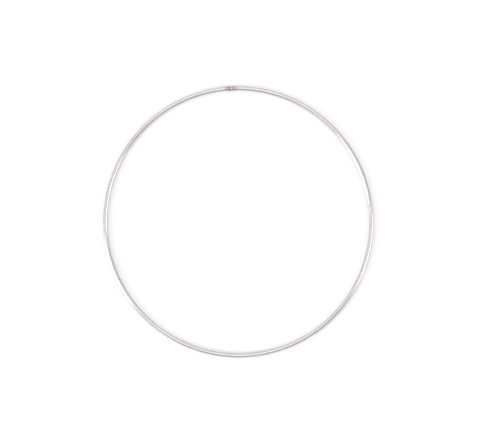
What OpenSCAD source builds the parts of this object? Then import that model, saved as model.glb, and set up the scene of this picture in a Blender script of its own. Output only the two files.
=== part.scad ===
// Wreath frame: a round hoop of plated steel wire, closed by one butt weld.
// Millimetres. The origin is the hoop's centre, on the plane that the hoop lies on.
// +Z is the hoop's axis, and +Y points from the centre to the weld.

/* [Hoop] */
// Outside diameter of the hoop
hoop_d = 200; // [80:5:400]
// Diameter of the wire
wire_d = 3; // [2:0.1:6]

/* [Weld] */
// Width of the weld, measured along the wire
weld_w = 0.9; // [0.5:0.05:1.5]
// How far the weld's collar stands out past the wire, inwards and outwards
collar_h = 0.18; // [0.12:0.01:0.4]
// Width of the collar's crown, as a share of the weld's width
crown_share = 0.4; // [0.2:0.05:0.8]

/* [Swollen wire ends] */
// Length of the stretch next to the weld that tapers down to the plain wire
swell_l = 2.4; // [1.5:0.1:4]
// How far the wire's end stands out past the plain wire, at the weld
swell_h = 0.08; // [0.07:0.01:0.11]
// How far the trimmed top and bottom of the swelling lie inside the wire's own
trim_h = 0.03; // [0.02:0.01:0.06]

/* [Hidden] */
$fn = 96;

wire_r = wire_d / 2;
ring_r = hoop_d / 2 - wire_r;
weld_half = weld_w / 2;

// The taper is straight while the wire bends away from it, so its thin end is
// sunk by that bend and a little more, and comes out buried all round.
swell_far = weld_half + swell_l;
bend_drop = ring_r - sqrt(ring_r * ring_r - swell_far * swell_far);
taper_sink = 0.1;
swell_end_r = wire_r - bend_drop - taper_sink;

// Longer than the weld is wide on either side, for clean cuts
cut_size = 4 * wire_d;

// Moves its children to the middle of the weld, on the wire's centre line
module at_weld() {
    translate([0, ring_r, wire_r]) children();
}

// Turns its children from the Z axis to the X axis, which the wire runs along there
module along_wire() {
    rotate([0, 90, 0]) children();
}

// Everything between two level planes, each this far inside the wire's top and bottom
module level_slab(inset) {
    cube([cut_size, cut_size, wire_d - 2 * inset], center = true);
}

// The bent wire as a closed ring
module full_ring() {
    translate([0, 0, wire_r])
        rotate_extrude()
            translate([ring_r, 0])
                circle(r = wire_r);
}

// The gap between the wire's two square-cut ends, which the weld fills
module weld_gap() {
    at_weld() cube([weld_w, cut_size, cut_size], center = true);
}

// The thickened end of the wire on one side of the weld: side is 1 or -1
module swollen_end(side) {
    at_weld() intersection() {
        rotate([0, side * 90, 0])
            translate([0, 0, weld_half])
                cylinder(h = swell_l, r1 = wire_r + swell_h, r2 = swell_end_r);
        level_slab(trim_h);
    }
}

// The whole length of wire, with both its ends
module hoop_wire() {
    color("silver") union() {
        difference() {
            full_ring();
            weld_gap();
        }
        for (side = [-1, 1]) swollen_end(side);
    }
}

// The weld: a barrel with sloped shoulders, trimmed level with the wire's top and bottom
module butt_weld() {
    edge_r = wire_r + swell_h;
    crown_r = wire_r + collar_h;
    crown_half = weld_half * crown_share;
    color("rosybrown") at_weld() intersection() {
        along_wire() rotate_extrude() polygon([
            [0, -weld_half],
            [edge_r, -weld_half],
            [crown_r, -crown_half],
            [crown_r, crown_half],
            [edge_r, weld_half],
            [0, weld_half],
        ]);
        level_slab(0);
    }
}

hoop_wire();
butt_weld();
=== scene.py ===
"""Wreath frame: a hoop of plated steel wire, closed by one butt weld, lying on a white table.

The hoop's centre is the origin, it lies on z = 0, and its weld is at +Y. Lengths are metres.
"""

import math

import bpy
import numpy as np
from mathutils import Matrix, Vector, noise


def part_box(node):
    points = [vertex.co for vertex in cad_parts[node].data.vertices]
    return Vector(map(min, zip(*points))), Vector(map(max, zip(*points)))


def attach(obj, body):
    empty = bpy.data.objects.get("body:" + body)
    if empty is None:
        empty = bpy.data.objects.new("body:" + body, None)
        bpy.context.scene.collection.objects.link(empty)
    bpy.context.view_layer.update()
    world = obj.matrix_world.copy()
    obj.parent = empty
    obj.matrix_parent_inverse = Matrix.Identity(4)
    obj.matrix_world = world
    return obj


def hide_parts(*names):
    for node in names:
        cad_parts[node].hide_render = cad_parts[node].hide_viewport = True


MM = 0.001

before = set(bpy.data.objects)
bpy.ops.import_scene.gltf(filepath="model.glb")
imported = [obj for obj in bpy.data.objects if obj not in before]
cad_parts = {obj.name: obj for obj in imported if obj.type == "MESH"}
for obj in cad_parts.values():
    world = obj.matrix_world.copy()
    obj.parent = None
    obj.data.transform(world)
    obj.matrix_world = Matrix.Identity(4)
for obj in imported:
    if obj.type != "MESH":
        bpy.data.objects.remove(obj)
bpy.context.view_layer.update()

# ---- Sizes, read from the frame ----
weld_lo, weld_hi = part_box("butt_weld")
wire_lo, wire_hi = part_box("hoop_wire")
wire_d = wire_hi.z - wire_lo.z
wire_r = wire_d / 2
ring_r = -wire_lo.y - wire_r
weld_half = (weld_hi.x - weld_lo.x) / 2
collar_h = weld_hi.y - (ring_r + wire_r)
swell_h = wire_hi.y - (ring_r + wire_r)

# ---- Sizes of fine detail, which the frame doesn't hold ----
# How far the visual surfaces lie inside the CAD's, for small lumps that stay in its box
WIRE_INSET, WELD_INSET = 0.004 * MM, 0.006 * MM
# Distances from the weld's side: the swelling's length, and how far the flats and lumps reach
SWELL_REACH, TRIM_REACH = 2.6 * MM, 3.2 * MM
# How far the trimmed flats lie inside the wire's top and bottom
TRIM_DEPTH = 0.03 * MM
# Depths of the lumps next to the weld and of the fine unevenness everywhere
LUMP_DEPTH, GRAIN_DEPTH = 0.03 * MM, 0.003 * MM
# The wire strays inwards from a true circle by up to twice this, once it is this far from the weld
WAVER, WAVER_REACH = 0.05 * MM, 12 * MM
# The burnished flat on the wire, right of the weld: where it starts and how soon it is full,
# where it starts to fade and how soon it is gone, and how far it lies below the wire's top
BURNISH_FROM, BURNISH_RISE = 3.2 * MM, 2.5 * MM
BURNISH_TO, BURNISH_FADE = 13 * MM, 4 * MM
TOP_INSET, BURNISH_DEPTH = 0.002 * MM, 0.034 * MM
# Spacing of the wire's cross-sections: fine up to this distance from the weld, and coarse beyond
FINE_REACH, FINE_STEP, COARSE_STEP = 9 * MM, 0.12 * MM, 0.62 * MM
# Points round each cross-section, and cross-sections from one side of the weld to the other
AROUND, WELD_STEPS = 64, 25
# How flat the crown of the weld's ridge is: 2 is a parabola, and more is flatter
CROWN_POWER = 2.4
# Edges sharper than this, in degrees, are shaded as corners
SHARP_EDGE = 28

# ---- The picture ----
LENS_MM, SENSOR_MM = 150, 36
# The hoop's outside diameter, as a share of the picture's width
HOOP_SHARE = 0.5632
# How far the hoop's centre lies left of and above the picture's, in shares of its width
HOOP_LEFT, HOOP_UP = 0.0073, 0.0004
# How far the weld lies to the left of the hoop's highest point in the picture
WELD_TURN = math.radians(2.6)
# Degrees that the camera leans from straight above the hoop, and the side of the picture it is on
CAMERA_LEAN, CAMERA_SIDE = 5.8, 22


def in_picture(azimuth_deg):
    """The unit vector on the table with this direction in the picture: 0 is right, 90 is up."""
    angle = math.radians(azimuth_deg) - WELD_TURN
    return Vector((math.cos(angle), math.sin(angle), 0))


def leaning(azimuth_deg, lean_deg):
    """The unit vector that leans this far from straight up, towards that side of the picture."""
    lean = math.radians(lean_deg)
    return in_picture(azimuth_deg) * math.sin(lean) + Vector((0, 0, math.cos(lean)))


def add_camera():
    """A camera nearly straight above the hoop, with the weld a little left of the top."""
    data = bpy.data.cameras.new("camera")
    data.lens = LENS_MM
    data.sensor_width = SENSOR_MM
    data.dof.use_dof = False
    width = 2 * (ring_r + wire_r) / HOOP_SHARE
    distance = width * LENS_MM / SENSOR_MM
    back = leaning(CAMERA_SIDE, CAMERA_LEAN)
    right = in_picture(90).cross(back).normalized()
    up = back.cross(right)
    camera = bpy.data.objects.new("camera", data)
    bpy.context.scene.collection.objects.link(camera)
    camera.matrix_world = Matrix((right, up, back)).transposed().to_4x4()
    middle = Vector((0, 0, wire_r)) + (right * HOOP_LEFT - up * HOOP_UP) * width
    camera.location = middle + back * distance
    bpy.context.scene.camera = camera


# ---- Small helpers for node trees ----
def add(tree, kind, **values):
    """A new node; each value sets a property of the node, or else the input of that name."""
    node = tree.nodes.new(kind)
    for name, value in values.items():
        if hasattr(node, name):
            setattr(node, name, value)
        else:
            node.inputs[name.replace("_", " ")].default_value = value
    return node


def maths(tree, operation, *inputs):
    """The output of a Math node over sockets and numbers."""
    node = tree.nodes.new("ShaderNodeMath")
    node.operation = operation
    for socket, value in zip(node.inputs, inputs):
        if isinstance(value, (int, float)):
            socket.default_value = value
        else:
            tree.links.new(value, socket)
    return node.outputs[0]


def ramp(tree, value, low, high, to_low=0.0, to_high=1.0):
    """value, smoothly mapped from low..high to to_low..to_high, and held beyond."""
    node = tree.nodes.new("ShaderNodeMapRange")
    node.interpolation_type = "SMOOTHSTEP"
    tree.links.new(value, node.inputs["Value"])
    limits = {"From Min": low, "From Max": high, "To Min": to_low, "To Max": to_high}
    for name, number in limits.items():
        node.inputs[name].default_value = number
    return node.outputs[0]


def mix_colour(tree, factor, first, second):
    """Between two colours, each a socket or a tuple."""
    node = tree.nodes.new("ShaderNodeMix")
    node.data_type = "RGBA"
    tree.links.new(factor, node.inputs[0])
    for socket, colour in ((node.inputs[6], first), (node.inputs[7], second)):
        if isinstance(colour, tuple):
            socket.default_value = (*colour, 1)
        else:
            tree.links.new(colour, socket)
    return node.outputs[2]


def stretched_noise(tree, vector, scale, detail):
    """Noise over a vector that is scaled differently along each of its axes."""
    mapping = add(tree, "ShaderNodeMapping", Scale=scale)
    tree.links.new(vector, mapping.inputs["Vector"])
    texture = add(tree, "ShaderNodeTexNoise", Scale=1.0, Detail=detail)
    tree.links.new(mapping.outputs[0], texture.inputs["Vector"])
    return texture.outputs[0]


def new_material(name):
    """A material with a plain Principled shader; gives the material, its tree and the shader."""
    material = bpy.data.materials.new(name)
    material.use_nodes = True
    tree = material.node_tree
    return material, tree, tree.nodes["Principled BSDF"]


# ---- Materials ----
PLATE = (0.65, 0.621, 0.619)
PLATE_DIM = (0.585, 0.558, 0.556)
TINT_EDGE = (0.50, 0.445, 0.43)
TINT_CORE = (0.30, 0.26, 0.255)
WELD_METAL = (0.56, 0.525, 0.52)
WELD_DARK = (0.46, 0.425, 0.42)
WELD_CUT = (0.60, 0.57, 0.565)
TABLE_DIM, TABLE_BRIGHT = (0.915, 0.90, 0.903), (0.93, 0.915, 0.918)

# Lengths of the heat tint right and left of the weld, how much its edge wanders, and the
# strength of its dark core on each side
HEAT_RIGHT_MM, HEAT_LEFT_MM, HEAT_WANDER_MM = 5.6, 6.1, 2.2
CORE_RIGHT, CORE_LEFT = 0.45, 1.0
# Depths of the drawing lines in the plating, and of the weld's rough surface
PLATE_RELIEF, WELD_RELIEF = 0.007 * MM, 0.02 * MM


def heat_distance(tree):
    """Millimetres along the wire from the weld, positive on its right, and the same unsigned."""
    place = tree.nodes.new("ShaderNodeTexCoord").outputs["Object"]
    split = tree.nodes.new("ShaderNodeSeparateXYZ")
    tree.links.new(place, split.inputs[0])
    x, y = split.outputs[0], split.outputs[1]
    angle = maths(tree, "ARCTAN2", x, y)
    along = maths(tree, "MULTIPLY", angle, ring_r / MM)
    return along, maths(tree, "ABSOLUTE", along)


def wire_coordinates(tree):
    """The wire's own map: millimetres along it, and millimetres around it."""
    node = add(tree, "ShaderNodeUVMap", uv_map="wire_mm")
    return node.outputs[0]


def plated_wire():
    """Bright plating over drawn wire: lines along it, small scuffs, and heat tint at the weld."""
    material, tree, shader = new_material("plated_wire")
    link = tree.links.new
    along, off = heat_distance(tree)
    wire = wire_coordinates(tree)
    # Scales are per millimetre, along the wire and then around it
    cloud = stretched_noise(tree, wire, (0.035, 0.16, 1), 4)
    speckle = stretched_noise(tree, wire, (1.1, 1.4, 1), 5)
    lines = stretched_noise(tree, wire, (0.12, 9.0, 1), 6)
    scuffs = stretched_noise(tree, wire, (2.6, 0.7, 1), 8)

    plate = mix_colour(tree, ramp(tree, cloud, 0.35, 0.7), PLATE, PLATE_DIM)
    plate = mix_colour(tree, ramp(tree, lines, 0.55, 0.85, 0, 0.35), plate, PLATE_DIM)
    wander = maths(tree, "MULTIPLY", maths(tree, "SUBTRACT", speckle, 0.5), HEAT_WANDER_MM)
    wandered = maths(tree, "ADD", off, wander)
    left = maths(tree, "LESS_THAN", along, 0.0)
    more_left = maths(tree, "MULTIPLY", left, HEAT_LEFT_MM - HEAT_RIGHT_MM)
    reach = maths(tree, "ADD", HEAT_RIGHT_MM, more_left)
    nearness = maths(tree, "SUBTRACT", 1.0, maths(tree, "DIVIDE", wandered, reach))
    haze = ramp(tree, nearness, 0.0, 0.45)
    darker_left = maths(tree, "MULTIPLY", left, CORE_LEFT - CORE_RIGHT)
    strength = maths(tree, "ADD", CORE_RIGHT, darker_left)
    core = maths(tree, "MULTIPLY", ramp(tree, nearness, 0.35, 0.95), strength)
    tint = mix_colour(tree, haze, plate, TINT_EDGE)
    tint = mix_colour(tree, core, tint, TINT_CORE)
    link(tint, shader.inputs["Base Color"])

    rough = ramp(tree, speckle, 0.3, 0.75, 0.15, 0.25)
    rough = maths(tree, "ADD", rough, ramp(tree, cloud, 0.45, 0.7, 0.0, 0.06))
    rough = maths(tree, "ADD", rough, ramp(tree, scuffs, 0.58, 0.70, 0.0, 0.14))
    rough = maths(tree, "ADD", rough, maths(tree, "MULTIPLY", haze, 0.24))
    link(rough, shader.inputs["Roughness"])
    shader.inputs["Metallic"].default_value = 1.0

    height = maths(tree, "MULTIPLY", lines, 0.9)
    height = maths(tree, "ADD", height, maths(tree, "MULTIPLY", scuffs, 0.35))
    grain = maths(tree, "MULTIPLY", maths(tree, "MULTIPLY", speckle, haze), 1.5)
    height = maths(tree, "ADD", height, grain)
    bump = add(tree, "ShaderNodeBump", Strength=0.5, Distance=PLATE_RELIEF)
    link(height, bump.inputs["Height"])
    link(bump.outputs[0], shader.inputs["Normal"])
    return material


def weld_metal():
    """Trimmed weld metal: brighter where it was cut level, darker and rougher down its sides."""
    material, tree, shader = new_material("weld_metal")
    link = tree.links.new
    place = tree.nodes.new("ShaderNodeTexCoord").outputs["Object"]
    split = tree.nodes.new("ShaderNodeSeparateXYZ")
    link(place, split.inputs[0])
    height = maths(tree, "ABSOLUTE", maths(tree, "SUBTRACT", split.outputs[2], wire_r))
    cut = ramp(tree, height, wire_r - 0.08 * MM, wire_r - 0.01 * MM)
    # Scales are per metre, along X, Y and Z
    lumps = stretched_noise(tree, place, (2200, 2200, 2200), 5)
    grinding = stretched_noise(tree, place, (1500, 14000, 2000), 4)
    colour = mix_colour(tree, ramp(tree, lumps, 0.35, 0.7), WELD_METAL, WELD_DARK)
    colour = mix_colour(tree, cut, colour, WELD_CUT)
    link(colour, shader.inputs["Base Color"])
    rough = ramp(tree, lumps, 0.3, 0.7, 0.42, 0.56)
    rough = maths(tree, "SUBTRACT", rough, maths(tree, "MULTIPLY", cut, 0.12))
    link(rough, shader.inputs["Roughness"])
    shader.inputs["Metallic"].default_value = 1.0
    marks = maths(tree, "MULTIPLY", grinding, 0.4)
    relief = maths(tree, "ADD", maths(tree, "MULTIPLY", lumps, 1.2), marks)
    bump = add(tree, "ShaderNodeBump", Strength=0.5, Distance=WELD_RELIEF)
    link(relief, bump.inputs["Height"])
    link(bump.outputs[0], shader.inputs["Normal"])
    return material


def table_top():
    """A plain, matt, white table top."""
    material, tree, shader = new_material("table_top")
    place = tree.nodes.new("ShaderNodeTexCoord").outputs["Object"]
    cloud = stretched_noise(tree, place, (9, 9, 9), 3)
    colour = mix_colour(tree, cloud, TABLE_DIM, TABLE_BRIGHT)
    tree.links.new(colour, shader.inputs["Base Color"])
    shader.inputs["Roughness"].default_value = 0.9
    shader.inputs["Specular IOR Level"].default_value = 0.1
    return material


# ---- Meshes ----
def tube_object(name, rings, mm_along, material):
    """A closed tube with a cap at each end, and a map of millimetres along and around it.

    rings holds AROUND points for each cross-section, and mm_along its place along the tube.
    """
    count = len(rings)
    verts = [tuple(v) for v in rings.reshape(-1, 3)]
    faces = []
    for i in range(count - 1):
        for j in range(AROUND):
            k = (j + 1) % AROUND
            near, far = i * AROUND, (i + 1) * AROUND
            faces.append((near + j, near + k, far + k, far + j))
    faces.append(tuple(reversed(range(AROUND))))
    faces.append(tuple((count - 1) * AROUND + j for j in range(AROUND)))
    mesh = bpy.data.meshes.new(name)
    mesh.from_pydata(verts, [], faces)
    layer = mesh.uv_layers.new(name="wire_mm")
    turn_mm = 2 * math.pi * wire_r / MM
    for face in mesh.polygons:
        corners = list(face.loop_indices)
        steps = [mesh.loops[corner].vertex_index % AROUND for corner in corners]
        wraps = len(corners) == 4 and AROUND - 1 in steps
        for corner in corners:
            ring, step = divmod(mesh.loops[corner].vertex_index, AROUND)
            if wraps and step == 0:
                step = AROUND
            layer.data[corner].uv = (mm_along[ring], step / AROUND * turn_mm)
    mesh.validate()
    mesh.polygons.foreach_set("use_smooth", [len(p.vertices) == 4 for p in mesh.polygons])
    mesh.set_sharp_from_angle(angle=math.radians(SHARP_EDGE))
    mesh.materials.append(material)
    piece = bpy.data.objects.new(name, mesh)
    bpy.context.scene.collection.objects.link(piece)
    return piece


def smooth_step(value):
    """A smooth rise from 0 to 1 while value goes from 0 to 1."""
    value = np.clip(value, 0, 1)
    return value * value * (3 - 2 * value)


def wire_stations():
    """Angles round the ring of the wire's cross-sections, which are closer at its ends."""
    start = math.asin(weld_half / ring_r)
    fine = np.arange(0, FINE_REACH, FINE_STEP) / ring_r
    whole = 2 * math.pi - 2 * (start + fine[-1])
    coarse = np.linspace(0, whole, int(whole * ring_r / COARSE_STEP))
    first = start + fine
    middle = first[-1] + coarse[1:-1]
    return np.concatenate([first, middle, (2 * math.pi - first)[::-1]])


def make_wire(material):
    """The wire, swept round the ring from one side of the weld to the other."""
    angles = wire_stations()
    around = np.linspace(0, 2 * math.pi, AROUND, endpoint=False)
    rings = np.empty((len(angles), AROUND, 3))
    flat = wire_r - TRIM_DEPTH
    for i, angle in enumerate(angles):
        side = 1 if angle < math.pi else -1
        off = min(angle, 2 * math.pi - angle) * ring_r - weld_half
        outward = Vector((math.sin(angle), math.cos(angle), 0))
        waver = WAVER * (noise.noise(outward * 2.3) - 1) * smooth_step(off / WAVER_REACH)
        swell = (swell_h - WIRE_INSET) * (1 - smooth_step(off / SWELL_REACH))
        lumpy = 1 - smooth_step(off / TRIM_REACH)
        burnish = smooth_step((off - BURNISH_FROM) / BURNISH_RISE)
        burnish *= 1 - smooth_step((off - BURNISH_TO) / BURNISH_FADE)
        top = wire_r - TOP_INSET - BURNISH_DEPTH * burnish
        for j, turn in enumerate(around):
            sideways, upward = math.cos(turn), math.sin(turn)
            spot = Vector((off / MM * 0.55, sideways * 1.3 + side * 7, upward * 1.3))
            lump = noise.noise(spot) * LUMP_DEPTH * lumpy
            spot = Vector((angle * ring_r / MM * 0.25, sideways * 2, upward * 2))
            grain = GRAIN_DEPTH * noise.noise(spot)
            radius = wire_r - WIRE_INSET + swell + min(lump, 0) + grain
            height = upward * radius
            if off < TRIM_REACH:
                height = max(-flat, min(flat, height))
            elif side > 0:
                height = min(top, height)
            reach = ring_r + waver + sideways * radius
            rings[i, j] = (outward.x * reach, outward.y * reach, wire_r + height)
    # The two end sections lie on the weld's side planes
    rings[0, :, 0] = weld_half
    rings[-1, :, 0] = -weld_half
    return tube_object("wire_visual", rings, angles * ring_r / MM, material)


def make_weld(material):
    """The weld's collar: a low, uneven ridge round the joint, cut level above and below."""
    across = np.linspace(-1, 1, WELD_STEPS)
    around = np.linspace(0, 2 * math.pi, AROUND, endpoint=False)
    rings = np.empty((WELD_STEPS, AROUND, 3))
    for i, share in enumerate(across):
        crown = 1 - abs(share) ** CROWN_POWER
        for j, turn in enumerate(around):
            sideways, upward = math.cos(turn), math.sin(turn)
            spot = Vector((share * 0.8, sideways * 1.6, upward * 1.6 + 3))
            lump = 0.5 + 0.5 * noise.noise(spot * 1.7)
            proud = swell_h + (collar_h - swell_h) * crown * (0.55 + 0.45 * lump)
            radius = wire_r + proud - WELD_INSET
            height = max(-wire_r, min(wire_r, upward * radius))
            rings[i, j] = (share * weld_half, ring_r + sideways * radius, wire_r + height)
    return tube_object("weld_visual", rings, across * weld_half / MM, material)


# ---- The studio ----
# Distance of the soft boxes from the hoop's centre
BOX_DISTANCE = 6
# Side of the picture, degrees above the table, width and height in metres, and radiance
SOFT_BOXES = {
    "left_box": (203, 18, (2.5, 3.5), 6),
    "right_box": (344, 25, (3.8, 3.7), 2.7),
}
# Side of the picture, lean from straight up, angles at which the panel is full and gone, radiance
PANELS = ((95, 14, 23, 28, 1.9), (276, 13, 15, 19, 0.95))
# The room's bright side in the picture, its light on the dark side and the bright side, and the
# cosines from that side between which it changes
BRIGHT_SIDE, ROOM_DARK, ROOM_BRIGHT = 145, 0.6, 0.91
ROOM_CHANGE = (-0.26, 0.18)
# Half of the table top's side
TABLE_HALF = 4.0


def add_area(name, place, size, radiance):
    """A rectangular area light at place that faces the hoop's centre."""
    data = bpy.data.lights.new(name, "AREA")
    data.shape = "RECTANGLE"
    data.size, data.size_y = size
    data.energy = radiance * math.pi * size[0] * size[1]
    light = bpy.data.objects.new(name, data)
    light.location = place
    light.rotation_euler = (-place).to_track_quat("-Z", "Y").to_euler()
    light.visible_camera = False
    bpy.context.scene.collection.objects.link(light)


def add_studio():
    """Two large, low soft boxes, left and right of the hoop and a little on its near side."""
    for name, (azimuth, rise, size, radiance) in SOFT_BOXES.items():
        add_area(name, leaning(azimuth, 90 - rise) * BOX_DISTANCE, size, radiance)


def add_world():
    """A white room, darker on its right and near side, with two soft panels overhead.

    The camera itself sees plain white where it looks past the table.
    """
    world = bpy.data.worlds.new("room")
    bpy.context.scene.world = world
    world.use_nodes = True
    tree = world.node_tree
    tree.nodes.clear()
    link = tree.links.new
    direction = tree.nodes.new("ShaderNodeTexCoord").outputs["Generated"]

    def towards(azimuth, lean):
        """The cosine of a direction's angle from the one that leans this far from straight up."""
        node = add(tree, "ShaderNodeVectorMath", operation="DOT_PRODUCT")
        link(direction, node.inputs[0])
        node.inputs[1].default_value = leaning(azimuth, lean)
        return node.outputs["Value"]

    light = ramp(tree, towards(BRIGHT_SIDE, 90), *ROOM_CHANGE, ROOM_DARK, ROOM_BRIGHT)
    for azimuth, lean, full, end, radiance in PANELS:
        full, end = math.cos(math.radians(full)), math.cos(math.radians(end))
        panel = ramp(tree, towards(azimuth, lean), end, full)
        light = maths(tree, "MULTIPLY", light, maths(tree, "SUBTRACT", 1.0, panel))
        light = maths(tree, "ADD", light, maths(tree, "MULTIPLY", panel, radiance))
    seen = tree.nodes.new("ShaderNodeLightPath").outputs["Is Camera Ray"]
    light = maths(tree, "MULTIPLY", light, maths(tree, "SUBTRACT", 1.0, seen))
    background = add(tree, "ShaderNodeBackground", Color=(1, 1, 1, 1))
    link(maths(tree, "ADD", light, seen), background.inputs["Strength"])
    output = tree.nodes.new("ShaderNodeOutputWorld")
    link(background.outputs[0], output.inputs["Surface"])


def add_table():
    """The table top that the hoop lies on."""
    mesh = bpy.data.meshes.new("table_top")
    signs = ((-1, -1), (1, -1), (1, 1), (-1, 1))
    corners = [(x * TABLE_HALF, y * TABLE_HALF, 0) for x, y in signs]
    mesh.from_pydata(corners, [], [(0, 1, 2, 3)])
    mesh.materials.append(table_top())
    table = bpy.data.objects.new("table_top", mesh)
    bpy.context.scene.collection.objects.link(table)


def main():
    """The whole scene, with each piece attached to the root body and the CAD part that it stands
    for hidden.
    """
    add_camera()
    wire = make_wire(plated_wire())
    weld = make_weld(weld_metal())
    pieces = ((wire, "hoop_wire", "plated_wire"), (weld, "butt_weld", "weld_metal"))
    for piece, node, slot in pieces:
        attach(piece, "root")
        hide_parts(node)
    add_table()
    add_studio()
    add_world()
    bpy.context.scene.view_settings.view_transform = "Standard"


main()
